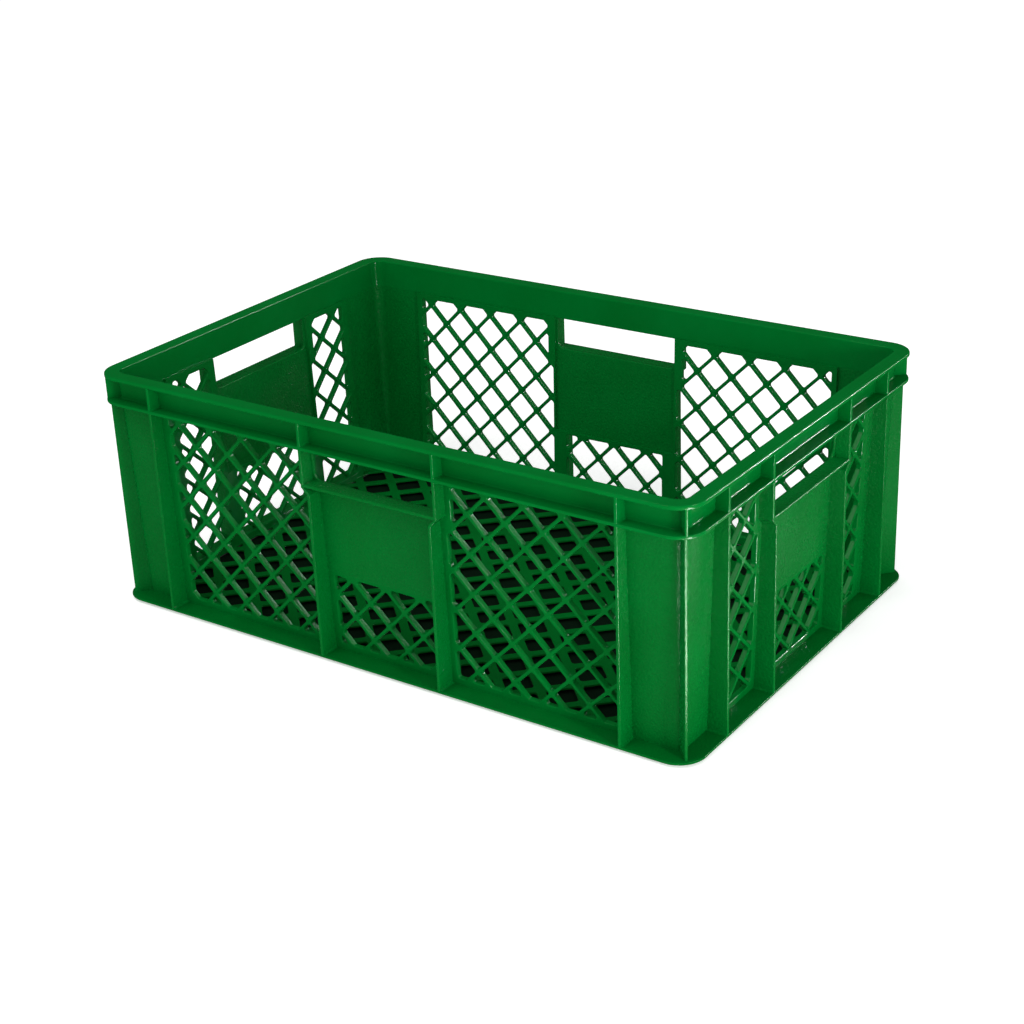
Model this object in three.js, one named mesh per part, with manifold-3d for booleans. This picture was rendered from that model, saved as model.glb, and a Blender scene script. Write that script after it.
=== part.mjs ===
// Stacking plastic crate, 600 x 400 x 220 mm, with lattice walls, a grid floor and four hand holes.
// Millimetres, +Z up, origin under the centre of the crate, long side along X, front towards -Y.
import * as THREE from 'three';
import { mergeGeometries, mergeVertices } from 'three/addons/utils/BufferGeometryUtils.js';
import Module from 'manifold-3d';

const wasm = await Module();
wasm.setup();

// Envelope
const HALF_LENGTH = 300;
const HALF_WIDTH = 200;
const HEIGHT = 220;
const CORNER_RADIUS = 24;
const ARC_STEPS = 3;

// Walls: set in from the envelope, and leaning in towards the base
const WALL_SETBACK = 11.5;
const WALL_THICKNESS = 2.5;
const LATTICE_DEPTH = 5.5;
const DRAFT = 0.0333;
const SEAM = 0.3;

// Rim: a channel with a top lip and a lower flange
const LIP_BOTTOM = 216.5;
const FLANGE_TOP = 196;
const FLANGE_BOTTOM = 193;

// Base: a low stacking foot, the base flange above it and the floor grid inside the walls
const FOOT_HEIGHT = 2.5;
const FOOT_SETBACK = 16;
const FOOT_WIDTH = 3;
const BASE_TOP = 4.7;
const FLOOR_SETBACK = 21.4;
const FLOOR_BORDER = 3;
const FLOOR_PITCH = 44;
const FLOOR_BAR = 8;

// Ribs, from the base flange to the lower flange of the rim
const RIB_THICKNESS = 2.8;
const FIN_THICKNESS = 2.5;
const FIN_SETBACK = 3;

// Hand holes and the handle panels under them
const HANDLE_RIB = 68;
const HANDLE_RIB_BELOW = 62;
const LEDGE_TOP = 163;
const LEDGE_THICKNESS = 3;
const PANEL_BOTTOM = 79;

// Lattices: bars crossing at 45 degrees behind plain window borders
const BAR = 3.1;
const WINDOW_TOP = 189;
const WINDOW_BOTTOM = 10.5;
const SIDE_WINDOW_INNER = 70;
const LOW_WINDOW_TOP = 76;
const LOW_WINDOW_HALF = 54.5;
const FIRST_CROSSING = 183.5;
const SMALLEST_HOLE = 15;

// The four sides, each drawn as the front and turned about Z
const SIDES = [
  { name: 'front', out: HALF_WIDTH, reach: HALF_LENGTH, turn: 0, rib: 236, window: 226.5, edge: 232, drop: 36 },
  { name: 'right', out: HALF_LENGTH, reach: HALF_WIDTH, turn: 1, rib: 140, window: 122, edge: 130, drop: 34.4 },
  { name: 'back', out: HALF_WIDTH, reach: HALF_LENGTH, turn: 2, rib: 236, window: 226.5, edge: 232, drop: 36 },
  { name: 'left', out: HALF_LENGTH, reach: HALF_WIDTH, turn: 3, rib: 140, window: 122, edge: 130, drop: 34.4 },
];
const ACROSS = 36;

const rimPlastic = new THREE.MeshStandardMaterial({ color: 0x057a37, roughness: 0.42, metalness: 0 });
const wallPlastic = new THREE.MeshStandardMaterial({ color: 0x006b28, roughness: 0.45, metalness: 0 });
const basePlastic = new THREE.MeshStandardMaterial({ color: 0x00541e, roughness: 0.5, metalness: 0 });

const crate = new THREE.Group();

function addPart(name, geometry, material) {
  const mesh = new THREE.Mesh(geometry, material);
  mesh.name = name;
  crate.add(mesh);
}

// ---- Solids -------------------------------------------------------------------------------

function toSolid(geometry) {
  const bare = geometry.clone();
  bare.deleteAttribute('normal');
  bare.deleteAttribute('uv');
  const merged = mergeVertices(bare);
  const mesh = new wasm.Mesh({
    numProp: 3,
    vertProperties: new Float32Array(merged.attributes.position.array),
    triVerts: new Uint32Array(merged.index.array),
  });
  return new wasm.Manifold(mesh);
}

function toGeometry(solid) {
  const mesh = solid.getMesh();
  const geometry = new THREE.BufferGeometry();
  geometry.setAttribute('position', new THREE.BufferAttribute(new Float32Array(mesh.vertProperties), 3));
  geometry.setIndex(new THREE.BufferAttribute(new Uint32Array(mesh.triVerts), 1));
  geometry.computeVertexNormals();
  return geometry;
}

function join(...geometries) {
  const solids = geometries.map(toSolid);
  return toGeometry(solids.reduce((whole, piece) => whole.add(piece)));
}

// A flat plate of one outline, with holes cut through it
function perforated(shape, holes, depth) {
  const flat = { depth, bevelEnabled: false, curveSegments: ARC_STEPS };
  const plate = new THREE.ExtrudeGeometry(shape, flat);
  const cutters = holes.map((hole) => {
    const cutter = new THREE.ExtrudeGeometry(hole, { depth: 3 * depth, bevelEnabled: false });
    return cutter.translate(0, 0, -depth);
  });
  return toGeometry(toSolid(plate).subtract(toSolid(mergeGeometries(cutters))));
}

// Keeps the quarter of a turned solid that lies at +X and +Y of its axis
function firstQuarter(geometry) {
  const size = 4 * HEIGHT;
  const quarter = new THREE.BoxGeometry(size, size, size);
  quarter.translate(size / 2, size / 2, 0);
  return toGeometry(toSolid(geometry).intersect(toSolid(quarter)));
}

function block(low, high) {
  const geometry = new THREE.BoxGeometry(high[0] - low[0], high[1] - low[1], high[2] - low[2]);
  geometry.translate((low[0] + high[0]) / 2, (low[1] + high[1]) / 2, (low[2] + high[2]) / 2);
  return geometry;
}

// ---- Outlines -----------------------------------------------------------------------------

function rectangle(left, right, bottom, top) {
  return [[left, bottom], [right, bottom], [right, top], [left, top]];
}

function outline(points) {
  return new THREE.Shape(points.map(([x, y]) => new THREE.Vector2(x, y)));
}

// The crate's plan outline, moved in from the envelope by a setback
function planOutline(setback) {
  const x = HALF_LENGTH - setback;
  const y = HALF_WIDTH - setback;
  const r = CORNER_RADIUS - setback;
  const shape = new THREE.Shape();
  shape.absarc(x - r, y - r, r, 0, Math.PI / 2);
  shape.absarc(r - x, y - r, r, Math.PI / 2, Math.PI);
  shape.absarc(r - x, r - y, r, Math.PI, 1.5 * Math.PI);
  shape.absarc(x - r, r - y, r, 1.5 * Math.PI, 2 * Math.PI);
  return shape;
}

// How far the wall leans in at height z
function lean(z) {
  return DRAFT * (HEIGHT - z);
}

// Stands an outline drawn in (along, height) on one side, as a plate between two setbacks
function sidePlate(side, points, outerSetback, innerSetback) {
  const geometry = new THREE.ExtrudeGeometry(outline(points), { depth: 1, bevelEnabled: false });
  return standUp(geometry, side, outerSetback, innerSetback);
}

function standUp(geometry, side, outerSetback, innerSetback) {
  const position = geometry.attributes.position;
  for (let i = 0; i < position.count; i += 1) {
    const z = position.getY(i);
    const setback = position.getZ(i) > 0.5 ? outerSetback(z) : innerSetback(z);
    position.setXYZ(i, position.getX(i), setback - side.out, z);
  }
  geometry.rotateZ(side.turn * Math.PI / 2);
  return geometry;
}

const onEnvelope = () => 0;
const wallOuter = (z) => WALL_SETBACK + lean(z);
const wallInner = (z) => wallOuter(z) + WALL_THICKNESS;
const latticeInner = (z) => wallOuter(z) + LATTICE_DEPTH;
const clearOfWall = (z) => wallOuter(z) - SEAM;
const intoWall = (z) => wallOuter(z) + WALL_THICKNESS / 2;

function wallPlate(side, points) {
  return sidePlate(side, points, wallOuter, wallInner);
}

// ---- Lattices -----------------------------------------------------------------------------

// Cuts a convex outline back to a window [left, right, bottom, top]
function clipToWindow(points, [left, right, bottom, top]) {
  const insideTests = [
    ([x]) => x - left,
    ([x]) => right - x,
    ([, y]) => y - bottom,
    ([, y]) => top - y,
  ];
  let kept = points;
  for (const inside of insideTests) {
    const next = [];
    kept.forEach((from, i) => {
      const to = kept[(i + 1) % kept.length];
      const a = inside(from);
      const b = inside(to);
      if (a >= 0) {
        next.push(from);
      }
      if ((a >= 0) !== (b >= 0)) {
        const t = a / (a - b);
        next.push([from[0] + t * (to[0] - from[0]), from[1] + t * (to[1] - from[1])]);
      }
    });
    kept = next;
  }
  return kept;
}

function area(points) {
  return Math.abs(THREE.ShapeUtils.area(points.map(([x, y]) => new THREE.Vector2(x, y))));
}

// Diamond holes between crossing bars. A hole's centre is half a pitch beside a crossing.
function diamondHoles(window, across, drop, bar, firstCrossing) {
  const [left, right, bottom] = window;
  const a = across / 2;
  const b = drop / 2;
  const centreToSide = (a * b) / Math.hypot(a, b);
  const shrink = 1 - bar / 2 / centreToSide;
  const holes = [];
  const rows = Math.ceil((firstCrossing - bottom) / b) + 1;
  for (let row = -1; row <= rows; row += 1) {
    const z = firstCrossing - row * b;
    const shift = row % 2 === 0 ? a : 0;
    for (let k = Math.floor(left / across) - 1; k * across < right + across; k += 1) {
      const x = k * across + shift;
      const diamond = [[x + a * shrink, z], [x, z + b * shrink], [x - a * shrink, z], [x, z - b * shrink]];
      const hole = clipToWindow(diamond, window);
      if (hole.length > 2 && area(hole) > SMALLEST_HOLE) {
        holes.push(outline(hole));
      }
    }
  }
  return holes;
}

function latticePlate(side, points, window) {
  const holes = diamondHoles(window, ACROSS, side.drop, BAR, FIRST_CROSSING);
  return standUp(perforated(outline(points), holes, 1), side, wallOuter, latticeInner);
}

// ---- Rim ----------------------------------------------------------------------------------

// Section of the rim channel as [setback, height]
const RIM_SECTION = [
  [0, FLANGE_BOTTOM],
  [wallInner(FLANGE_BOTTOM), FLANGE_BOTTOM],
  [wallInner(HEIGHT), HEIGHT],
  [0, HEIGHT],
  [0, LIP_BOTTOM],
  [wallOuter(LIP_BOTTOM), LIP_BOTTOM],
  [wallOuter(FLANGE_TOP), FLANGE_TOP],
  [0, FLANGE_TOP],
];

function rimSide(side) {
  const half = side.reach - CORNER_RADIUS - SEAM / 2;
  const channel = new THREE.ExtrudeGeometry(outline(RIM_SECTION), { depth: 2 * half, bevelEnabled: false });
  // Section (setback, height, along) to (along, setback - out, height)
  const position = channel.attributes.position;
  for (let i = 0; i < position.count; i += 1) {
    const [setback, z, along] = [position.getX(i), position.getY(i), position.getZ(i)];
    position.setXYZ(i, along - half, setback - side.out, z);
  }
  channel.rotateZ(side.turn * Math.PI / 2);
  const bandRibs = [-side.rib, -HANDLE_RIB, HANDLE_RIB, side.rib].map((u) => {
    const points = rectangle(u - RIB_THICKNESS / 2, u + RIB_THICKNESS / 2, FLANGE_TOP - 1, LIP_BOTTOM + 1);
    return sidePlate(side, points, onEnvelope, intoWall);
  });
  return join(channel, ...bandRibs);
}

// A closed profile of [radius, height] turned about the corner's axis
function turned(profile) {
  const points = [...profile, profile[0]].map(([r, z]) => new THREE.Vector2(r, z));
  const geometry = new THREE.LatheGeometry(points, 8 * ARC_STEPS);
  geometry.rotateX(Math.PI / 2);
  return geometry;
}

// A thin upright fin on the corner's diagonal, from an outline of [radius, height]
function diagonalFin(points) {
  const fin = new THREE.ExtrudeGeometry(outline(points), { depth: FIN_THICKNESS, bevelEnabled: false });
  fin.translate(0, 0, -FIN_THICKNESS / 2);
  fin.rotateX(Math.PI / 2);
  fin.rotateZ(Math.PI / 4);
  return fin;
}

// Moves a part made about the Z axis in the first quarter to one of the four corners
function placeAtCorner(geometry, corner) {
  geometry.rotateZ(corner.turn * Math.PI / 2);
  geometry.translate(
    corner.x * (HALF_LENGTH - CORNER_RADIUS),
    corner.y * (HALF_WIDTH - CORNER_RADIUS),
    0,
  );
  return geometry;
}

function rimCorner(corner) {
  const profile = RIM_SECTION.map(([setback, z]) => [CORNER_RADIUS - setback, z]).reverse();
  const channel = firstQuarter(turned(profile));
  const fin = diagonalFin(rectangle(
    CORNER_RADIUS - WALL_SETBACK - WALL_THICKNESS / 2,
    CORNER_RADIUS - FIN_SETBACK / 4,
    FLANGE_TOP - 1,
    LIP_BOTTOM + 1,
  ));
  return placeAtCorner(join(channel, fin), corner);
}

function cornerPost(corner) {
  const shell = firstQuarter(turned([
    [CORNER_RADIUS - wallOuter(BASE_TOP), BASE_TOP],
    [CORNER_RADIUS - wallOuter(FLANGE_BOTTOM), FLANGE_BOTTOM],
    [CORNER_RADIUS - wallInner(FLANGE_BOTTOM), FLANGE_BOTTOM],
    [CORNER_RADIUS - wallInner(BASE_TOP), BASE_TOP],
  ]));
  const fin = diagonalFin([
    [CORNER_RADIUS - intoWall(BASE_TOP), BASE_TOP],
    [CORNER_RADIUS - FIN_SETBACK, BASE_TOP],
    [CORNER_RADIUS - FIN_SETBACK, FLANGE_BOTTOM],
    [CORNER_RADIUS - intoWall(FLANGE_BOTTOM), FLANGE_BOTTOM],
  ]);
  return placeAtCorner(join(shell, fin), corner);
}

// ---- Ribs and panels ----------------------------------------------------------------------

function straightRib(side, u) {
  const points = rectangle(u - RIB_THICKNESS / 2, u + RIB_THICKNESS / 2, BASE_TOP, FLANGE_BOTTOM);
  return sidePlate(side, points, onEnvelope, clearOfWall);
}

// A handle rib steps towards the handle below the ledge
function steppedRib(side, sign) {
  const h = RIB_THICKNESS / 2;
  const stepTop = LEDGE_TOP - LEDGE_THICKNESS;
  const stepBottom = stepTop - (HANDLE_RIB - HANDLE_RIB_BELOW);
  const points = [
    [HANDLE_RIB_BELOW - h, BASE_TOP],
    [HANDLE_RIB_BELOW + h, BASE_TOP],
    [HANDLE_RIB_BELOW + h, stepBottom],
    [HANDLE_RIB + h, stepTop],
    [HANDLE_RIB + h, FLANGE_BOTTOM],
    [HANDLE_RIB - h, FLANGE_BOTTOM],
    [HANDLE_RIB - h, stepTop],
    [HANDLE_RIB_BELOW - h, stepBottom],
  ];
  const placed = points.map(([u, z]) => [sign * u, z]);
  return sidePlate(side, placed, onEnvelope, clearOfWall);
}

const HANDLE_PANEL_HALF = HANDLE_RIB - RIB_THICKNESS / 2 - SEAM;

function handlePanel(side) {
  const panel = wallPlate(side, rectangle(-HANDLE_PANEL_HALF, HANDLE_PANEL_HALF, PANEL_BOTTOM, LEDGE_TOP));
  const ledgePoints = rectangle(-HANDLE_PANEL_HALF, HANDLE_PANEL_HALF, LEDGE_TOP - LEDGE_THICKNESS, LEDGE_TOP);
  const ledge = sidePlate(side, ledgePoints, onEnvelope, intoWall);
  return join(panel, ledge);
}

function handleLattice(side) {
  const points = rectangle(-HANDLE_PANEL_HALF, HANDLE_PANEL_HALF, BASE_TOP, PANEL_BOTTOM - SEAM);
  return latticePlate(side, points, [-LOW_WINDOW_HALF, LOW_WINDOW_HALF, WINDOW_BOTTOM, LOW_WINDOW_TOP]);
}

function sideLattice(side, sign) {
  const inner = HANDLE_PANEL_HALF + SEAM;
  const outer = side.edge - SEAM / 2;
  if (sign > 0) {
    const window = [SIDE_WINDOW_INNER, side.window, WINDOW_BOTTOM, WINDOW_TOP];
    return latticePlate(side, rectangle(inner, outer, BASE_TOP, FLANGE_BOTTOM), window);
  }
  const window = [-side.window, -SIDE_WINDOW_INNER, WINDOW_BOTTOM, WINDOW_TOP];
  return latticePlate(side, rectangle(-outer, -inner, BASE_TOP, FLANGE_BOTTOM), window);
}

function endPanel(side, sign) {
  const inner = side.edge + SEAM / 2;
  const outer = side.reach - CORNER_RADIUS - SEAM / 2;
  const [left, right] = sign > 0 ? [inner, outer] : [-outer, -inner];
  return wallPlate(side, rectangle(left, right, BASE_TOP, FLANGE_BOTTOM));
}

// ---- Base ---------------------------------------------------------------------------------

function basePlate() {
  const x = HALF_LENGTH - FLOOR_SETBACK - FLOOR_BORDER;
  const y = HALF_WIDTH - FLOOR_SETBACK - FLOOR_BORDER;
  const middle = FLOOR_PITCH / 2 + Math.floor(y / FLOOR_PITCH) * FLOOR_PITCH;
  const holes = diamondHoles([-x, x, -y, y], FLOOR_PITCH, FLOOR_PITCH, FLOOR_BAR, middle);
  const plate = perforated(planOutline(0), holes, BASE_TOP - FOOT_HEIGHT);
  plate.translate(0, 0, FOOT_HEIGHT);
  return plate;
}

function footStrip(side) {
  const half = side.reach - CORNER_RADIUS;
  const low = [-half, FOOT_SETBACK - side.out, 0];
  const high = [half, FOOT_SETBACK + FOOT_WIDTH - side.out, FOOT_HEIGHT];
  const strip = block(low, high);
  strip.rotateZ(side.turn * Math.PI / 2);
  return strip;
}

// ---- Assembly -----------------------------------------------------------------------------

const ENDS = { front: ['left', 'right'], right: ['front', 'back'], back: ['right', 'left'], left: ['back', 'front'] };

addPart('base_plate', basePlate(), basePlastic);
for (const side of SIDES) {
  addPart(`rim_${side.name}`, rimSide(side), rimPlastic);
  addPart(`stacking_foot_${side.name}`, footStrip(side), basePlastic);
  addPart(`handle_panel_${side.name}`, handlePanel(side), wallPlastic);
  addPart(`handle_lattice_${side.name}`, handleLattice(side), wallPlastic);
  for (const sign of [-1, 1]) {
    const end = ENDS[side.name][sign > 0 ? 1 : 0];
    addPart(`lattice_${side.name}_${end}`, sideLattice(side, sign), wallPlastic);
    addPart(`end_panel_${side.name}_${end}`, endPanel(side, sign), wallPlastic);
    addPart(`handle_rib_${side.name}_${end}`, steppedRib(side, sign), wallPlastic);
    addPart(`corner_rib_${side.name}_${end}`, straightRib(side, sign * side.rib), wallPlastic);
  }
}

const CORNERS = [
  { name: 'back_right', x: 1, y: 1, turn: 0 },
  { name: 'back_left', x: -1, y: 1, turn: 1 },
  { name: 'front_left', x: -1, y: -1, turn: 2 },
  { name: 'front_right', x: 1, y: -1, turn: 3 },
];
for (const corner of CORNERS) {
  addPart(`rim_corner_${corner.name}`, rimCorner(corner), rimPlastic);
  addPart(`corner_post_${corner.name}`, cornerPost(corner), wallPlastic);
}

export default crate;
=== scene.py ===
"""Stacking plastic crate: fine moulded pieces, material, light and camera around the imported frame.

The pieces are worked out in millimetres from the frame's boxes and written to Blender in metres.
On each side, a point is (u, setback, z): along the side, in from the envelope, and up.
"""
import math

import bmesh
import bpy
from mathutils import Matrix, Vector
from mathutils.geometry import tessellate_polygon


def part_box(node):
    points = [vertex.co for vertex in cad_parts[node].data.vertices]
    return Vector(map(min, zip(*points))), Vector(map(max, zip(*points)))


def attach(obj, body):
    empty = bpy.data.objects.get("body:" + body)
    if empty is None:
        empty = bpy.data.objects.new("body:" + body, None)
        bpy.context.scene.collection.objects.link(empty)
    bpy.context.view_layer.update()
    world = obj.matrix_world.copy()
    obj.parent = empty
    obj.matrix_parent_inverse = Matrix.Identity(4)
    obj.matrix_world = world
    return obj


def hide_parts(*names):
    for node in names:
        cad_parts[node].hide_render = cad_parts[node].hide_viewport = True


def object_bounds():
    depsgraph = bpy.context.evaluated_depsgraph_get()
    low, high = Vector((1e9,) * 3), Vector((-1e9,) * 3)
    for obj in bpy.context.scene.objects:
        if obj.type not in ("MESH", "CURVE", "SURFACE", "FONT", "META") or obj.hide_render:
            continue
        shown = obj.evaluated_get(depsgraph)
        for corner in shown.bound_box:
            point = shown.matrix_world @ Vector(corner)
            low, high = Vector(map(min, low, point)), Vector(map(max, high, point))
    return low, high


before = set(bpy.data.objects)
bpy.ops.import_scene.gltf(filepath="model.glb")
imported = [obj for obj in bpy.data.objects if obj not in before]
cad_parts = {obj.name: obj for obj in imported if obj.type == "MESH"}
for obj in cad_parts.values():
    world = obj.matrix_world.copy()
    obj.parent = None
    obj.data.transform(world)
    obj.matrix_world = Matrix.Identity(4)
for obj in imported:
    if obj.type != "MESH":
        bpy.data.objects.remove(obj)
cad_low, cad_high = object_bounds()
MM = 0.001


def box_mm(node):
    low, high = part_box(node)
    return Vector(low) / MM, Vector(high) / MM


# ---- Sizes from the frame, in millimetres ---------------------------------------------------

HALF_X = cad_high.x / MM
HALF_Y = cad_high.y / MM
TOP = cad_high.z / MM

rim_low, _ = box_mm("rim_front")
rim_corner_low, rim_corner_high = box_mm("rim_corner_front_right")
CORNER_RADIUS = rim_corner_high.x - rim_corner_low.x
FLANGE_BOTTOM = rim_low.z

base_low, base_high = box_mm("base_plate")
FLANGE_UNDERSIDE = base_low.z
FLOOR_TOP = base_high.z

foot_low, foot_high = box_mm("stacking_foot_front")
FOOT_SETBACK = foot_low.y + HALF_Y
FOOT_WIDTH = foot_high.y - foot_low.y

panel_low, panel_high = box_mm("handle_panel_front")
LEDGE_TOP = panel_high.z
PANEL_BOTTOM = panel_low.z

post_rib_low, post_rib_high = box_mm("corner_rib_front_right")
BASE_TOP = post_rib_low.z
RIB_THICKNESS = post_rib_high.x - post_rib_low.x

handle_rib_low, handle_rib_high = box_mm("handle_rib_front_right")
HANDLE_RIB = handle_rib_high.x - RIB_THICKNESS / 2
HANDLE_RIB_BELOW = handle_rib_low.x + RIB_THICKNESS / 2

# ---- Sizes of the mouldings, in millimetres -------------------------------------------------

WALL_SETBACK = 11.5
WALL_THICKNESS = 2.5
DRAFT = 0.0333
LATTICE_DEPTH = 5.5
BAR = 3.1
BAR_ROUND = 0.9
HOLE_FILLET = 2.2
ACROSS = 36.0
FIRST_CROSSING = 183.5
WINDOW_TOP = 189.0
WINDOW_BOTTOM = 10.5
LOW_WINDOW_TOP = 76.0
LOW_WINDOW_HALF = 54.5
WINDOW_INNER_LOW = 69.0
WINDOW_INNER_HIGH = 74.5
SMALLEST_HOLE = 14.0

LIP_THICKNESS = 3.5
LIP_ROUND = 1.3
LIP_UNDER_ROUND = 0.78
FLANGE_THICKNESS = 3.0
FLANGE_ROUND = 1.0
CHANNEL_FILLET = 1.4
LEDGE_THICKNESS = 3.0
SLOT_HALF = 65.0
SLOT_LOW_RADIUS = 7.0
SLOT_STEPS = 6
PANEL_EDGE = 0.9
LEDGE_EDGE = 1.2
LEDGE_FRONT = 0.2
LEDGE_INTO_WALL = 1.2

FLOOR_PITCH = 44.0
FLOOR_BAR = 8.0
FLOOR_BORDER = 3.0
FLOOR_SETBACK = 21.4
FLOOR_FILLET = 3.0
FLOOR_BAR_ROUND = 0.7
BASE_EDGE = 0.9
FOOT_EDGE = 0.8
FIN_THICKNESS = 2.5
FIN_SETBACK = 3.0
FIN_EDGE = 0.7
RIB_EDGE = 0.8
RIB_FRONT = 0.3
BAND_RIB_EDGE = 0.7
BAND_RIB_FRONT = 0.35
BAND_FIN_FRONT = 0.4
JUNCTION_FILLET = 1.8

# How far a rib or a wall runs on into the piece that it joins
OVERLAP = 1.0

# Each side is drawn as the front and turned about Z by quarter turns. out and reach are the half
# sizes across and along it, window is where its lattice ends, and drop is one diamond's height.
LONG_SIDE = dict(out=HALF_Y, reach=HALF_X, window=226.5, drop=36.0)
SHORT_SIDE = dict(out=HALF_X, reach=HALF_Y, window=122.0, drop=34.4)
SIDES = [
    dict(name="front", turn=0, ends=("left", "right"), **LONG_SIDE),
    dict(name="right", turn=1, ends=("front", "back"), **SHORT_SIDE),
    dict(name="back", turn=2, ends=("right", "left"), **LONG_SIDE),
    dict(name="left", turn=3, ends=("back", "front"), **SHORT_SIDE),
]
for side in SIDES:
    along = 0 if side["turn"] % 2 == 0 else 1
    rib_low, rib_high = box_mm(f"corner_rib_{side['name']}_{side['ends'][1]}")
    side["rib"] = abs(rib_low[along] + rib_high[along]) / 2
    seam_low, seam_high = box_mm(f"lattice_{side['name']}_{side['ends'][1]}")
    side["edge"] = max(abs(seam_low[along]), abs(seam_high[along]))
    side["seam"] = min(abs(seam_low[along]), abs(seam_high[along]))

CORNERS = [
    dict(name="back_right", x=1, y=1, turn=0),
    dict(name="back_left", x=-1, y=1, turn=1),
    dict(name="front_left", x=-1, y=-1, turn=2),
    dict(name="front_right", x=1, y=-1, turn=3),
]


def wall_outer(z):
    return WALL_SETBACK + DRAFT * (TOP - z)


def wall_inner(z):
    return wall_outer(z) + WALL_THICKNESS


# ---- Placing --------------------------------------------------------------------------------


def on_side(side):
    """A function from (u, setback, z) on this side to a point in the crate's frame."""
    turn = Matrix.Rotation(side["turn"] * math.pi / 2, 3, "Z")
    return lambda u, setback, z: turn @ Vector((u, setback - side["out"], z))


def corner_centre(corner):
    return Vector((corner["x"] * (HALF_X - CORNER_RADIUS), corner["y"] * (HALF_Y - CORNER_RADIUS), 0))


def at_corner(corner):
    """A function from (radius, angle, z) about the corner's axis to a point in the crate's frame."""
    centre = corner_centre(corner)
    start = corner["turn"] * math.pi / 2

    def place(radius, angle, z):
        a = start + angle
        return centre + Vector((radius * math.cos(a), radius * math.sin(a), z))

    return place


# ---- Mesh building --------------------------------------------------------------------------


class Shell:
    """Vertices and faces of one piece, gathered from lofts and plates."""

    def __init__(self):
        self.points = []
        self.faces = []

    def add(self, points):
        start = len(self.points)
        self.points.extend(points)
        return list(range(start, len(self.points)))

    def loft(self, rings, closed=True, caps=True):
        """Quads between successive rings of points. A closed ring joins its last point to its first."""
        rows = [self.add(ring) for ring in rings]
        count = len(rows[0])
        for near, far in zip(rows, rows[1:]):
            for i in range(count if closed else count - 1):
                j = (i + 1) % count
                self.faces.append((near[i], near[j], far[j], far[i]))
        if caps:
            self.faces.append(tuple(reversed(rows[0])))
            self.faces.append(tuple(rows[-1]))
        return rows


SHARP_ANGLE = math.radians(38)


def make_piece(name, shell, node, material):
    mesh = bpy.data.meshes.new(name)
    bm = bmesh.new()
    verts = [bm.verts.new(Vector(p) * MM) for p in shell.points]
    for face in shell.faces:
        bm.faces.new([verts[i] for i in face])
    bmesh.ops.remove_doubles(bm, verts=bm.verts, dist=1e-7)
    bmesh.ops.recalc_face_normals(bm, faces=bm.faces)
    for face in bm.faces:
        face.smooth = True
    for edge in bm.edges:
        if len(edge.link_faces) == 2 and edge.calc_face_angle(0) > SHARP_ANGLE:
            edge.smooth = False
    bm.to_mesh(mesh)
    bm.free()
    piece = bpy.data.objects.new(name, mesh)
    bpy.context.scene.collection.objects.link(piece)
    mesh.materials.append(material)
    weighted = piece.modifiers.new("even shading on flats", "WEIGHTED_NORMAL")
    weighted.keep_sharp = True
    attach(piece, "root")
    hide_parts(node)
    return piece


# ---- Outlines -------------------------------------------------------------------------------


def rounded(points, radii, steps=4, spread=0.0):
    """A closed outline with each corner rounded. spread moves the outline out by that much.

    Corners may be convex or hollow. Points run counter-clockwise, and so does the result.
    """
    count = len(points)
    if isinstance(radii, (int, float)):
        radii = [radii] * count
    result = []
    for i, corner in enumerate(points):
        corner = Vector(corner)
        back = Vector(points[i - 1]) - corner
        ahead = Vector(points[(i + 1) % count]) - corner
        reach = 0.46 * min(back.length, ahead.length)
        back.normalize()
        ahead.normalize()
        half = math.acos(max(-1.0, min(1.0, back.dot(ahead)))) / 2
        convex = (-back).cross(ahead) > 0
        radius = min(radii[i], reach * math.tan(half))
        centre = corner + (back + ahead).normalized() * (radius / math.sin(half))
        first = corner + back * (radius / math.tan(half)) - centre
        last = corner + ahead * (radius / math.tan(half)) - centre
        start = math.atan2(first.y, first.x)
        sweep = math.atan2(last.y, last.x) - start
        sweep = (sweep + math.pi) % (2 * math.pi) - math.pi
        out_radius = radius + spread if convex else radius - spread
        for k in range(steps + 1):
            a = start + sweep * k / steps
            result.append(centre + Vector((math.cos(a), math.sin(a))) * out_radius)
    return result


def clip(points, left, right, bottom, top):
    """The part of a convex outline inside a rectangle."""
    tests = [
        lambda p: p[0] - left,
        lambda p: right - p[0],
        lambda p: p[1] - bottom,
        lambda p: top - p[1],
    ]
    kept = points
    for inside in tests:
        following = []
        for i, here in enumerate(kept):
            there = kept[(i + 1) % len(kept)]
            a, b = inside(here), inside(there)
            if a >= 0:
                following.append(here)
            if (a >= 0) != (b >= 0):
                t = a / (a - b)
                following.append((here[0] + t * (there[0] - here[0]), here[1] + t * (there[1] - here[1])))
        kept = following
    return kept


def area(points):
    return abs(sum(p[0] * q[1] - q[0] * p[1] for p, q in zip(points, points[1:] + points[:1]))) / 2


def tidy_outline(points, shortest=0.8):
    """Drops corners that lie too close to the one before."""
    kept = []
    for point in points:
        if not kept or (Vector(point) - Vector(kept[-1])).length > shortest:
            kept.append(point)
    if len(kept) > 1 and (Vector(kept[0]) - Vector(kept[-1])).length <= shortest:
        kept.pop()
    return kept


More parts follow.
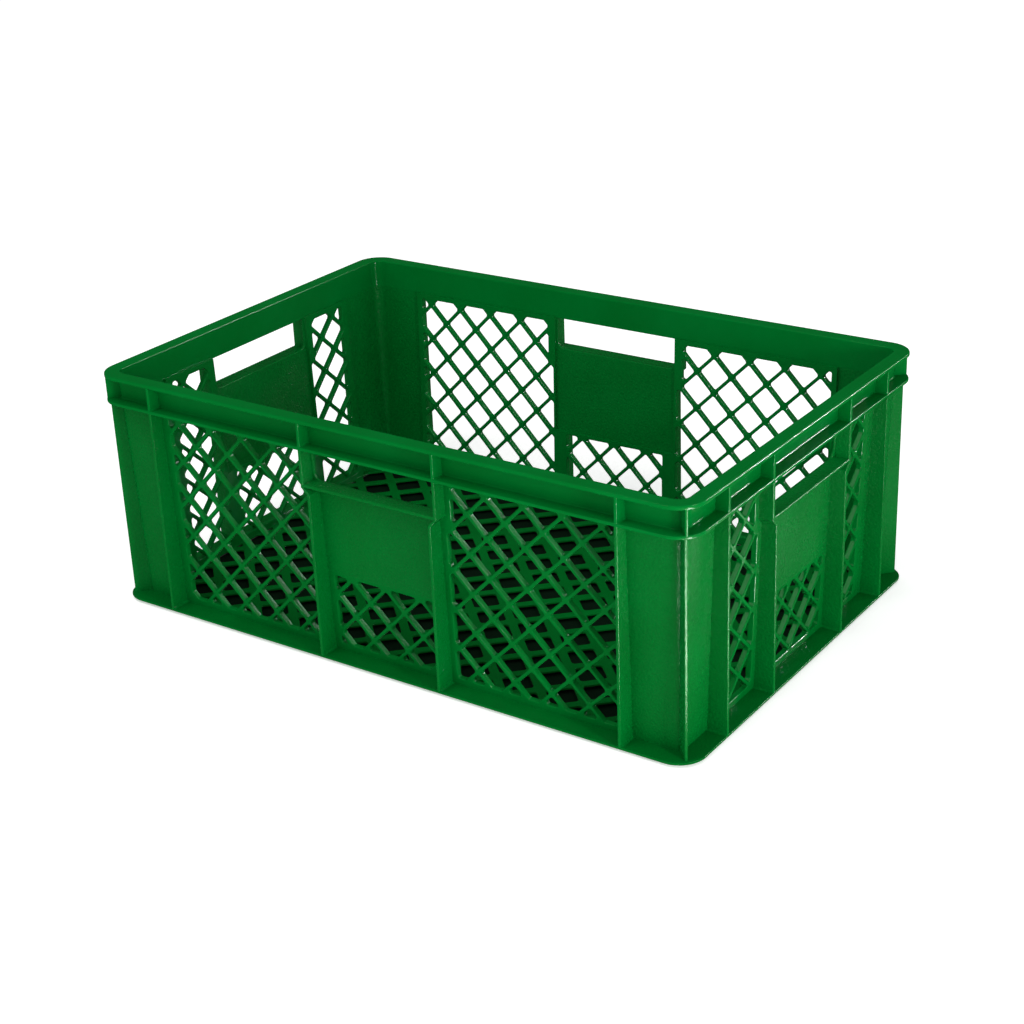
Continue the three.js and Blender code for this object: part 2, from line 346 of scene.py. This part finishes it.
def diamonds(window_at, left, right, bottom, top, across, drop, bar, first):
    """Hole outlines between crossing bars, cut back to the window that window_at gives at a height."""
    a, b = across / 2, drop / 2
    shrink = 1 - bar / 2 / (a * b / math.hypot(a, b))
    holes = []
    for row in range(-1, math.ceil((first - bottom) / b) + 2):
        z = first - row * b
        shift = a if row % 2 == 0 else 0.0
        for k in range(math.floor(left / across) - 1, math.ceil(right / across) + 2):
            x = k * across + shift
            diamond = [(x + a * shrink, z), (x, z + b * shrink), (x - a * shrink, z), (x, z - b * shrink)]
            hole = clip(diamond, *window_at(z))
            hole = tidy_outline(hole) if len(hole) > 2 else []
            if len(hole) > 2 and area(hole) > SMALLEST_HOLE:
                holes.append(hole)
    return holes


def quarter(steps):
    return [k * math.pi / 2 / steps for k in range(steps + 1)]


def edge_profile(edge_round, depth):
    """The edge of an opening as (spread, depth) pairs, rounded where it meets either face."""
    profile = [(edge_round * (1 - math.sin(a)), edge_round * (1 - math.cos(a))) for a in quarter(3)]
    return profile + [(spread, depth - w) for spread, w in reversed(profile)]


def pierced_plate(shell, place, outline, holes, depth, fillet, edge_round, sides=True):
    """A plate with rounded holes, whose bars have rounded edges on both faces.

    place(x, y, w) puts a point of the outline's plane at depth w from the outer face.
    """
    profile = edge_profile(edge_round, depth)
    front_holes, back_holes = [], []
    for hole in holes:
        rings = []
        for spread, w in profile:
            ring = rounded(hole, fillet, spread=spread)
            rings.append([place(p.x, p.y, w) for p in ring])
        rows = shell.loft(rings, caps=False)
        front = rounded(hole, fillet, spread=profile[0][0])
        front_holes.append((front, rows[0]))
        back_holes.append((front, rows[-1]))
    outer_front = shell.add([place(x, y, 0) for x, y in outline])
    outer_back = shell.add([place(x, y, depth) for x, y in outline])
    count = len(outline)
    for i in range(count if sides else 0):
        j = (i + 1) % count
        shell.faces.append((outer_front[i], outer_front[j], outer_back[j], outer_back[i]))
    for outer, hole_rings in ((outer_front, front_holes), (outer_back, back_holes)):
        loops = [[Vector((x, y, 0)) for x, y in outline]]
        index = list(outer)
        for ring, row in hole_rings:
            loops.append([Vector((p.x, p.y, 0)) for p in ring])
            index.extend(row)
        for triangle in tessellate_polygon(loops):
            shell.faces.append(tuple(index[i] for i in triangle))


def rounded_bar(low_u, high_u, outer, inner, radius, steps=3):
    """The section of a rib as (u, setback): square where it meets the wall, rounded in front."""
    section = [(low_u, inner), (high_u, inner)]
    for a in quarter(steps):
        section.append((high_u - radius * (1 - math.cos(a)), outer + radius * (1 - math.sin(a))))
    for a in quarter(steps):
        section.append((low_u + radius * (1 - math.sin(a)), outer + radius * (1 - math.cos(a))))
    return section


# ---- Rim ------------------------------------------------------------------------------------

ROUND_STEPS = 4


def arc(centre, radius, start, end, steps=ROUND_STEPS):
    """Points from one angle to another, in degrees, about a centre."""
    points = []
    for k in range(steps + 1):
        a = math.radians(start + (end - start) * k / steps)
        points.append((centre[0] + radius * math.cos(a), centre[1] + radius * math.sin(a)))
    return points


def rim_section():
    """The channel's section as (setback, z): lip on top, web behind, flange below, corners rounded."""
    lip_low = TOP - LIP_THICKNESS
    flange_top = FLANGE_BOTTOM + FLANGE_THICKNESS
    section = arc((wall_inner(TOP) - LIP_ROUND, TOP - LIP_ROUND), LIP_ROUND, 0, 90)
    section += arc((LIP_ROUND, TOP - LIP_ROUND), LIP_ROUND, 90, 180)
    section += arc((LIP_UNDER_ROUND, lip_low + LIP_UNDER_ROUND), LIP_UNDER_ROUND, 180, 270, 3)
    fillet = CHANNEL_FILLET
    web_high = wall_outer(lip_low) - fillet
    section += [
        (web_high + fillet * math.sin(a), lip_low - fillet + fillet * math.cos(a)) for a in quarter(4)
    ]
    web_low = wall_outer(flange_top) - fillet
    section += [
        (web_low + fillet * math.cos(a), flange_top + fillet - fillet * math.sin(a)) for a in quarter(4)
    ]
    section += arc((FLANGE_ROUND, flange_top - FLANGE_ROUND), FLANGE_ROUND, 90, 180)
    section += arc((FLANGE_ROUND, FLANGE_BOTTOM + FLANGE_ROUND), FLANGE_ROUND, 180, 270)
    section += [(wall_inner(FLANGE_BOTTOM), FLANGE_BOTTOM)]
    return section


RIM_SECTION = rim_section()


def junction_fillets(shell, place, centre, z, outer=1.0):
    """Concave fillets along both sides of a rib, where it stands on a flange."""
    r = JUNCTION_FILLET
    into_rib, into_flange, into_wall = -0.5, -0.4, 0.6
    section = [(into_rib, into_flange), (r, into_flange)]
    section += [(r - r * math.sin(a), r - r * math.cos(a)) for a in quarter(5)]
    section += [(into_rib, r)]
    for away in (-1, 1):
        face = centre + away * RIB_THICKNESS / 2
        rings = []
        for setback in (outer, wall_outer(z) + into_wall):
            rings.append([place(face + away * x, setback, z + up) for x, up in section])
        shell.loft(rings)


def band_rib(shell, place, u):
    """A rib across the rim's hollow, rounded on its outer edge."""
    half = RIB_THICKNESS / 2
    flange_top = FLANGE_BOTTOM + FLANGE_THICKNESS
    rings = []
    for z in (flange_top - OVERLAP, TOP - LIP_THICKNESS + OVERLAP):
        section = rounded_bar(u - half, u + half, BAND_RIB_FRONT, wall_outer(z) + OVERLAP, BAND_RIB_EDGE)
        rings.append([place(x, s, z) for x, s in section])
    shell.loft(rings)
    junction_fillets(shell, place, u, flange_top)


def rim_side(side):
    shell = Shell()
    place = on_side(side)
    half = side["reach"] - CORNER_RADIUS
    shell.loft([[place(u, s, z) for s, z in RIM_SECTION] for u in (-half, half)])
    for u in (-side["rib"], -HANDLE_RIB, HANDLE_RIB, side["rib"]):
        band_rib(shell, place, u)
    return shell


CORNER_ANGLES = [0, 0.3] + [90 * k / 16 for k in range(1, 16)] + [89.7, 90]


def rim_corner(corner):
    shell = Shell()
    place = at_corner(corner)
    rings = []
    for degrees in CORNER_ANGLES:
        a = math.radians(degrees)
        rings.append([place(CORNER_RADIUS - s, a, z) for s, z in RIM_SECTION])
    shell.loft(rings)
    flange_top = FLANGE_BOTTOM + FLANGE_THICKNESS
    heights = (flange_top - OVERLAP, TOP - LIP_THICKNESS + OVERLAP)
    diagonal_fin(shell, corner, heights, BAND_FIN_FRONT)
    return shell


def diagonal_fin(shell, corner, heights, setback):
    """A thin upright fin on the corner's diagonal, rounded on its outer edge."""
    centre = corner_centre(corner)
    turn = Matrix.Rotation(corner["turn"] * math.pi / 2 + math.pi / 4, 3, "Z")
    half = FIN_THICKNESS / 2
    rings = []
    for z in heights:
        inner = CORNER_RADIUS - wall_outer(z) - OVERLAP
        section = rounded_bar(-half, half, setback - CORNER_RADIUS, -inner, FIN_EDGE)
        rings.append([centre + turn @ Vector((-out, u, z)) for u, out in section])
    shell.loft(rings)


# ---- Posts, ribs and panels -----------------------------------------------------------------


def corner_post(corner):
    shell = Shell()
    place = at_corner(corner)
    heights = (BASE_TOP - OVERLAP, FLANGE_BOTTOM + OVERLAP)
    rings = []
    for degrees in CORNER_ANGLES:
        a = math.radians(degrees)
        outer = [place(CORNER_RADIUS - wall_outer(z), a, z) for z in heights]
        inner = [place(CORNER_RADIUS - wall_inner(z), a, z) for z in reversed(heights)]
        rings.append(outer + inner)
    shell.loft(rings)
    diagonal_fin(shell, corner, heights, FIN_SETBACK)
    return shell


def straight_rib(side, u):
    shell = Shell()
    place = on_side(side)
    half = RIB_THICKNESS / 2
    rings = []
    for z in (BASE_TOP - OVERLAP, FLANGE_BOTTOM + OVERLAP):
        section = rounded_bar(u - half, u + half, RIB_FRONT, wall_outer(z) + OVERLAP, RIB_EDGE)
        rings.append([place(x, s, z) for x, s in section])
    shell.loft(rings)
    junction_fillets(shell, place, u, BASE_TOP)
    return shell


def stepped_rib(side, sign):
    """A rib beside the hand hole, which steps towards it below the ledge."""
    shell = Shell()
    place = on_side(side)
    half = RIB_THICKNESS / 2
    step_top = LEDGE_TOP - LEDGE_THICKNESS
    step = HANDLE_RIB - HANDLE_RIB_BELOW
    stations = [
        (BASE_TOP - OVERLAP, HANDLE_RIB_BELOW),
        (step_top - step, HANDLE_RIB_BELOW),
        (step_top, HANDLE_RIB),
        (FLANGE_BOTTOM + OVERLAP, HANDLE_RIB),
    ]
    rings = []
    for z, u in stations:
        centre = sign * u
        section = rounded_bar(centre - half, centre + half, RIB_FRONT, wall_outer(z) + OVERLAP, RIB_EDGE)
        rings.append([place(x, s, z) for x, s in section])
    shell.loft(rings)
    junction_fillets(shell, place, sign * HANDLE_RIB_BELOW, BASE_TOP)
    return shell


def end_panel(side, sign):
    shell = Shell()
    place = on_side(side)
    low, high = BASE_TOP - OVERLAP, FLANGE_BOTTOM + OVERLAP
    rings = []
    for u in (side["edge"], side["reach"] - CORNER_RADIUS):
        ring = [place(sign * u, wall_outer(z), z) for z in (low, high)]
        ring += [place(sign * u, wall_inner(z), z) for z in (high, low)]
        rings.append(ring)
    shell.loft(rings)
    return shell


def wall_place(side, sign=1):
    """A function from (u, z, depth) in a wall to a point in the crate's frame."""
    place = on_side(side)
    return lambda u, z, depth: place(sign * u, wall_outer(z) + depth, z)


def side_lattice(side, sign):
    shell = Shell()
    step_height = LEDGE_TOP - LEDGE_THICKNESS - (HANDLE_RIB - HANDLE_RIB_BELOW) / 2

    def window_at(z):
        inner = WINDOW_INNER_HIGH if z > step_height else WINDOW_INNER_LOW
        return inner, side["window"], WINDOW_BOTTOM, WINDOW_TOP

    holes = diamonds(
        window_at, WINDOW_INNER_LOW, side["window"], WINDOW_BOTTOM, WINDOW_TOP,
        ACROSS, side["drop"], BAR, FIRST_CROSSING,
    )
    outline = [
        (side["seam"], BASE_TOP - OVERLAP),
        (side["edge"], BASE_TOP - OVERLAP),
        (side["edge"], FLANGE_BOTTOM + OVERLAP),
        (side["seam"], FLANGE_BOTTOM + OVERLAP),
    ]
    pierced_plate(shell, wall_place(side, sign), outline, holes, LATTICE_DEPTH, HOLE_FILLET, BAR_ROUND)
    return shell


def handle_lattice(side):
    shell = Shell()
    window = (-LOW_WINDOW_HALF, LOW_WINDOW_HALF, WINDOW_BOTTOM, LOW_WINDOW_TOP)
    holes = diamonds(lambda z: window, *window, ACROSS, side["drop"], BAR, FIRST_CROSSING)
    outline = [
        (-side["seam"], BASE_TOP - OVERLAP),
        (side["seam"], BASE_TOP - OVERLAP),
        (side["seam"], PANEL_BOTTOM),
        (-side["seam"], PANEL_BOTTOM),
    ]
    pierced_plate(shell, wall_place(side), outline, holes, LATTICE_DEPTH, HOLE_FILLET, BAR_ROUND)
    return shell


def handle_panel(side):
    """The solid panel under the hand hole, its two ears beside the hole, and the ledge across the front."""
    shell = Shell()
    place = wall_place(side)
    profile = edge_profile(PANEL_EDGE, WALL_THICKNESS)
    top = FLANGE_BOTTOM + OVERLAP
    beyond_top = top + 20
    arc_points = SLOT_STEPS + 1

    def notch(spread):
        """The hand hole's edge, open at the top: its right half going up, then its left half going down."""
        corners = [(-SLOT_HALF, LEDGE_TOP), (SLOT_HALF, LEDGE_TOP)]
        corners += [(SLOT_HALF, beyond_top), (-SLOT_HALF, beyond_top)]
        lower = rounded(corners, [SLOT_LOW_RADIUS, SLOT_LOW_RADIUS, 1, 1], SLOT_STEPS, spread)
        right = lower[arc_points:2 * arc_points] + [Vector((SLOT_HALF + spread, top))]
        left = [Vector((-SLOT_HALF - spread, top))] + lower[:arc_points]
        return right, left

    rings = []
    for spread, w in profile:
        right, left = notch(spread)
        path = left + right
        rings.append([place(p.x, p.y, w) for p in path])
    rows = shell.loft(rings, closed=False, caps=False)
    right, left = notch(profile[0][0])
    path = left + right
    seam = side["seam"]
    frame_points = [(seam, top), (seam, PANEL_BOTTOM), (-seam, PANEL_BOTTOM), (-seam, top)]
    outer_front = shell.add([place(x, y, 0) for x, y in frame_points])
    outer_back = shell.add([place(x, y, WALL_THICKNESS) for x, y in frame_points])
    for outer, row in ((outer_front, rows[0]), (outer_back, rows[-1])):
        loop = [Vector((p.x, p.y, 0)) for p in path] + [Vector((x, y, 0)) for x, y in frame_points]
        index = list(row) + list(outer)
        for triangle in tessellate_polygon([loop]):
            shell.faces.append(tuple(index[i] for i in triangle))
    for i in range(3):
        shell.faces.append((outer_front[i], outer_front[i + 1], outer_back[i + 1], outer_back[i]))
    first_ends = [row[0] for row in rows]
    last_ends = [row[-1] for row in rows]
    shell.faces.append(tuple([outer_front[3], outer_back[3]] + list(reversed(first_ends))))
    shell.faces.append(tuple([outer_back[0], outer_front[0]] + last_ends))
    ledge(shell, side)
    return shell


def ledge(shell, side):
    """The shelf along the hand hole's lower edge, rounded in front."""
    place = on_side(side)
    low, high = LEDGE_TOP - LEDGE_THICKNESS, LEDGE_TOP
    front = LEDGE_EDGE + LEDGE_FRONT
    section = [(wall_outer(high) + LEDGE_INTO_WALL, high)]
    section += arc((front, high - LEDGE_EDGE), LEDGE_EDGE, 90, 180)
    section += arc((front, low + LEDGE_EDGE), LEDGE_EDGE, 180, 270)
    section += [(wall_outer(low) + LEDGE_INTO_WALL, low)]
    half = HANDLE_RIB - LEDGE_FRONT
    shell.loft([[place(u, s, z) for s, z in section] for u in (-half, half)])


# ---- Base -----------------------------------------------------------------------------------


def plan_ring(setback, z, steps=12):
    """The plan outline at a setback from the envelope, counter-clockwise, at height z."""
    points = []
    for corner in CORNERS:
        place = at_corner(corner)
        for k in range(steps + 1):
            points.append(place(CORNER_RADIUS - setback, math.radians(90 * k / steps), z))
    return points


def base_plate():
    """The base flange and the floor grid, in one flat plate with a rounded outer edge."""
    shell = Shell()
    thickness = FLOOR_TOP - FLANGE_UNDERSIDE
    edge = min(BASE_EDGE, thickness / 2)
    rings = [plan_ring(FLOOR_SETBACK, FLOOR_TOP)]
    for a in quarter(3):
        rings.append(plan_ring(edge * (1 - math.sin(a)), FLOOR_TOP - edge * (1 - math.cos(a))))
    for a in quarter(3):
        rings.append(plan_ring(edge * (1 - math.cos(a)), FLANGE_UNDERSIDE + edge * (1 - math.sin(a))))
    rings.append(plan_ring(FLOOR_SETBACK, FLANGE_UNDERSIDE))
    shell.loft(rings, caps=False)
    outline = [(p.x, p.y) for p in plan_ring(FLOOR_SETBACK, 0)]
    x = HALF_X - FLOOR_SETBACK - FLOOR_BORDER
    y = HALF_Y - FLOOR_SETBACK - FLOOR_BORDER
    first = FLOOR_PITCH / 2 + math.floor(y / FLOOR_PITCH) * FLOOR_PITCH
    window = (-x, x, -y, y)
    holes = diamonds(lambda z: window, *window, FLOOR_PITCH, FLOOR_PITCH, FLOOR_BAR, first)
    pierced_plate(
        shell, lambda u, v, w: Vector((u, v, FLOOR_TOP - w)), outline, holes,
        thickness, FLOOR_FILLET, FLOOR_BAR_ROUND, sides=False,
    )
    return shell


def foot(side):
    shell = Shell()
    place = on_side(side)
    half = side["reach"] - CORNER_RADIUS
    low, high = FOOT_SETBACK, FOOT_SETBACK + FOOT_WIDTH
    into_flange = FLANGE_UNDERSIDE + 0.5
    section = [(low, into_flange)]
    section += arc((low + FOOT_EDGE, FOOT_EDGE), FOOT_EDGE, 180, 270, 3)
    section += arc((high - FOOT_EDGE, FOOT_EDGE), FOOT_EDGE, 270, 360, 3)
    section += [(high, into_flange)]
    shell.loft([[place(u, s, z) for s, z in section] for u in (-half, half)])
    return shell


# ---- Materials ------------------------------------------------------------------------------


def srgb(red, green, blue):
    """A display colour from 0 to 255 as the linear colour that a shader takes."""
    def linear(c):
        c = c / 255
        return c / 12.92 if c <= 0.04045 else ((c + 0.055) / 1.055) ** 2.4

    return (linear(red), linear(green), linear(blue), 1.0)


# Noise scales per metre, and heights in metres
CLOUD_SCALE, SMEAR_SCALE, WAVE_SCALE, GRAIN_SCALE = 14, 60, 22, 500
WAVE_HEIGHT, GRAIN_HEIGHT = 0.0008, 0.0006


def moulded_plastic(name, light, dark, roughness, grain, shine):
    """Pigmented polyethylene: cloudy colour, smeared gloss, slow waves and a fine moulded grain.

    grain is the strength of the grain, and shine the specular level.
    """
    material = bpy.data.materials.new(name)
    material.use_nodes = True
    nodes, links = material.node_tree.nodes, material.node_tree.links
    shader = nodes["Principled BSDF"]
    place = nodes.new("ShaderNodeTexCoord")

    def noise(scale, detail, rough=0.5):
        node = nodes.new("ShaderNodeTexNoise")
        node.inputs["Scale"].default_value = scale
        node.inputs["Detail"].default_value = detail
        node.inputs["Roughness"].default_value = rough
        links.new(place.outputs["Object"], node.inputs["Vector"])
        return node

    clouds = noise(CLOUD_SCALE, 3)
    colours = nodes.new("ShaderNodeValToRGB")
    colours.color_ramp.elements[0].position = 0.3
    colours.color_ramp.elements[0].color = dark
    colours.color_ramp.elements[1].position = 0.7
    colours.color_ramp.elements[1].color = light
    links.new(clouds.outputs["Fac"], colours.inputs["Fac"])
    links.new(colours.outputs["Color"], shader.inputs["Base Color"])

    smears = noise(SMEAR_SCALE, 4, 0.6)
    rough = nodes.new("ShaderNodeMapRange")
    rough.inputs["To Min"].default_value = roughness - 0.05
    rough.inputs["To Max"].default_value = roughness + 0.06
    links.new(smears.outputs["Fac"], rough.inputs["Value"])
    links.new(rough.outputs["Result"], shader.inputs["Roughness"])

    waves = noise(WAVE_SCALE, 2)
    wave_bump = nodes.new("ShaderNodeBump")
    wave_bump.inputs["Strength"].default_value = 0.25
    wave_bump.inputs["Distance"].default_value = WAVE_HEIGHT
    links.new(waves.outputs["Fac"], wave_bump.inputs["Height"])
    fine = noise(GRAIN_SCALE, 2)
    grain_bump = nodes.new("ShaderNodeBump")
    grain_bump.inputs["Strength"].default_value = grain
    grain_bump.inputs["Distance"].default_value = GRAIN_HEIGHT
    links.new(fine.outputs["Fac"], grain_bump.inputs["Height"])
    links.new(wave_bump.outputs["Normal"], grain_bump.inputs["Normal"])
    links.new(grain_bump.outputs["Normal"], shader.inputs["Normal"])
    shader.inputs["IOR"].default_value = 1.5
    shader.inputs["Specular IOR Level"].default_value = shine
    return material


rim_plastic = moulded_plastic("rim plastic", srgb(0, 112, 42), srgb(0, 104, 36), 0.16, 0.2, 0.05)
wall_plastic = moulded_plastic("wall plastic", srgb(0, 110, 40), srgb(0, 101, 34), 0.27, 1.0, 0.07)
lattice_plastic = moulded_plastic("lattice plastic", srgb(0, 110, 40), srgb(0, 101, 34), 0.16, 0.2, 0.1)
base_plastic = moulded_plastic("base plastic", srgb(0, 104, 36), srgb(0, 93, 30), 0.24, 0.4, 0.03)

# ---- Pieces ---------------------------------------------------------------------------------


def add_piece(node, shell, material):
    return make_piece(f"{node}_moulding", shell, node, material)


add_piece("base_plate", base_plate(), base_plastic)
for side in SIDES:
    name = side["name"]
    add_piece(f"rim_{name}", rim_side(side), rim_plastic)
    add_piece(f"stacking_foot_{name}", foot(side), base_plastic)
    add_piece(f"handle_panel_{name}", handle_panel(side), wall_plastic)
    add_piece(f"handle_lattice_{name}", handle_lattice(side), lattice_plastic)
    for sign, end in zip((-1, 1), side["ends"]):
        add_piece(f"lattice_{name}_{end}", side_lattice(side, sign), lattice_plastic)
        add_piece(f"end_panel_{name}_{end}", end_panel(side, sign), wall_plastic)
        add_piece(f"handle_rib_{name}_{end}", stepped_rib(side, sign), wall_plastic)
        corner_rib = straight_rib(side, sign * side["rib"])
        add_piece(f"corner_rib_{name}_{end}", corner_rib, wall_plastic)
for corner in CORNERS:
    add_piece(f"rim_corner_{corner['name']}", rim_corner(corner), rim_plastic)
    add_piece(f"corner_post_{corner['name']}", corner_post(corner), wall_plastic)

# ---- Floor, light and camera ----------------------------------------------------------------


# The floor's painted shadow begins and is full this far in from the crate's envelope, in millimetres
SHADE_START, SHADE_FULL = 8, 22
FLOOR_COLOUR = (0.9, 0.9, 0.9, 1)
PAINTED_SHADOW_COLOUR = (0.004, 0.012, 0.006, 1)
FLOOR_GLOW = 0.45


def stage_floor():
    """A pale floor that keeps white in the picture, with a painted shadow: dark where the crate stands over
    it.
    """
    mesh = bpy.data.meshes.new("floor")
    half = 6.0
    corners = [(-half, -half, 0), (half, -half, 0), (half, half, 0), (-half, half, 0)]
    mesh.from_pydata(corners, [], [(0, 1, 2, 3)])
    floor = bpy.data.objects.new("floor", mesh)
    bpy.context.scene.collection.objects.link(floor)
    material = bpy.data.materials.new("pale floor")
    material.use_nodes = True
    nodes, links = material.node_tree.nodes, material.node_tree.links
    shader = nodes["Principled BSDF"]
    shader.inputs["Roughness"].default_value = 0.9
    shader.inputs["Specular IOR Level"].default_value = 0.0
    place = nodes.new("ShaderNodeTexCoord")
    split = nodes.new("ShaderNodeSeparateXYZ")
    links.new(place.outputs["Object"], split.inputs["Vector"])
    inside = []
    for axis, reach in (("X", HALF_X), ("Y", HALF_Y)):
        distance = nodes.new("ShaderNodeMath")
        distance.operation = "ABSOLUTE"
        links.new(split.outputs[axis], distance.inputs[0])
        fade = nodes.new("ShaderNodeMapRange")
        fade.interpolation_type = "SMOOTHSTEP"
        fade.inputs["From Min"].default_value = (reach - SHADE_START) * MM
        fade.inputs["From Max"].default_value = (reach - SHADE_FULL) * MM
        links.new(distance.outputs["Value"], fade.inputs["Value"])
        inside.append(fade)
    # Painted shadow mask: 1 under the crate's footprint, fading to 0 towards its edge
    both = nodes.new("ShaderNodeMath")
    both.operation = "MULTIPLY"
    links.new(inside[0].outputs["Result"], both.inputs[0])
    links.new(inside[1].outputs["Result"], both.inputs[1])
    # Painted shadow: the floor's colour turns near-black where the mask is 1
    painted_shadow_ramp = nodes.new("ShaderNodeValToRGB")
    painted_shadow_ramp.color_ramp.elements[0].color = FLOOR_COLOUR
    painted_shadow_ramp.color_ramp.elements[1].color = PAINTED_SHADOW_COLOUR
    links.new(both.outputs["Value"], painted_shadow_ramp.inputs["Fac"])
    links.new(painted_shadow_ramp.outputs["Color"], shader.inputs["Base Color"])
    # The floor's glow also fades out inside the painted shadow
    glow = nodes.new("ShaderNodeMapRange")
    glow.inputs["To Min"].default_value = FLOOR_GLOW
    glow.inputs["To Max"].default_value = 0.0
    links.new(both.outputs["Value"], glow.inputs["Value"])
    shader.inputs["Emission Color"].default_value = (1, 1, 1, 1)
    links.new(glow.outputs["Result"], shader.inputs["Emission Strength"])
    floor.visible_glossy = False
    material.cycles.emission_sampling = "NONE"
    mesh.materials.append(material)


def soft_light(name, place, aim, size, power, diffuse=True, gloss=True):
    """A rectangular light. Glints and cards show in gloss only, so they don't light the flat faces."""
    data = bpy.data.lights.new(name, "AREA")
    data.shape = "RECTANGLE"
    data.size, data.size_y = size
    data.energy = power
    light = bpy.data.objects.new(name, data)
    light.location = place
    light.visible_diffuse = diffuse
    light.visible_glossy = gloss
    light.visible_camera = False
    light.rotation_euler = (Vector(aim) - Vector(place)).to_track_quat("-Z", "Y").to_euler()
    bpy.context.scene.collection.objects.link(light)


def add_camera():
    """The viewpoint: a long lens, from the front right and above, rolled slightly."""
    azimuth, elevation, roll = math.radians(35.24), math.radians(24.17), math.radians(-2.38)
    target = Vector((0.0474, -0.0636, 0.110))
    distance = 1.6786
    back = Vector((
        math.sin(azimuth) * math.cos(elevation),
        -math.cos(azimuth) * math.cos(elevation),
        math.sin(elevation),
    ))
    right = (-back).cross(Vector((0, 0, 1))).normalized()
    up = right.cross(-back)
    rolled_right = math.cos(roll) * right + math.sin(roll) * up
    rolled_up = -math.sin(roll) * right + math.cos(roll) * up
    data = bpy.data.cameras.new("camera")
    data.sensor_width = 36
    data.lens = 68.82
    data.clip_start, data.clip_end = 0.01, 50
    camera = bpy.data.objects.new("camera", data)
    turn = Matrix((rolled_right, rolled_up, back)).transposed()
    camera.matrix_world = Matrix.Translation(target + back * distance) @ turn.to_4x4()
    bpy.context.scene.collection.objects.link(camera)
    bpy.context.scene.camera = camera


CRATE_MIDDLE = (0, 0, 0.1)


def low_card(name, x, y, size, power):
    """A lit card on the floor that faces up, where gloss mirrors the pale floor."""
    soft_light(name, (x, y, 0.004), (x + 0.0001, y, 1.0), size, power, diffuse=False)


stage_floor()
soft_light("key from the right", (1.14, -0.47, 0.30), (0.25, -0.15, 0.1), (0.12, 0.3), 6, gloss=False)
soft_light("top", (-0.3, -0.9, 2.0), CRATE_MIDDLE, (1.0, 1.0), 12)
soft_light("glint from the back right", (1.23, 1.42, 0.53), CRATE_MIDDLE, (0.13, 0.13), 60, diffuse=False)
soft_light("glint from high on the right", (1.19, 0.21, 1.44), CRATE_MIDDLE, (0.3, 0.3), 30, diffuse=False)
soft_light("glint from high at the back right", (0.76, 1.37, 1.23), CRATE_MIDDLE, (0.2, 0.2), 4, diffuse=False)
low_card("near card at the corner", 0.43, -0.235, (0.07, 0.2), 6)
low_card("far card at the corner", 0.63, -0.31, (0.12, 0.26), 13)
low_card("low card by the right side", 0.46, 0.13, (0.12, 0.16), 0.15)

# The sky's strength in diffuse light, in gloss and straight behind the crate
SKY, SKY_IN_GLOSS, SKY_BEHIND = 0.66, 0.03, 1.0
world = bpy.data.worlds.new("studio")
world.use_nodes = True
sky = world.node_tree.nodes["Background"]
sky.inputs["Color"].default_value = (1, 1, 1, 1)
light_path = world.node_tree.nodes.new("ShaderNodeLightPath")
brightness = world.node_tree.nodes.new("ShaderNodeMapRange")
brightness.inputs["To Min"].default_value = SKY
brightness.inputs["To Max"].default_value = SKY_IN_GLOSS
join = world.node_tree.links.new
join(light_path.outputs["Is Glossy Ray"], brightness.inputs["Value"])
backdrop = world.node_tree.nodes.new("ShaderNodeMapRange")
backdrop.inputs["To Max"].default_value = SKY_BEHIND
join(light_path.outputs["Is Camera Ray"], backdrop.inputs["Value"])
join(brightness.outputs["Result"], backdrop.inputs["To Min"])
join(backdrop.outputs["Result"], sky.inputs["Strength"])
world.cycles.sampling_method = "NONE"
bpy.context.scene.world = world
bpy.context.scene.view_settings.view_transform = "Standard"
add_camera()
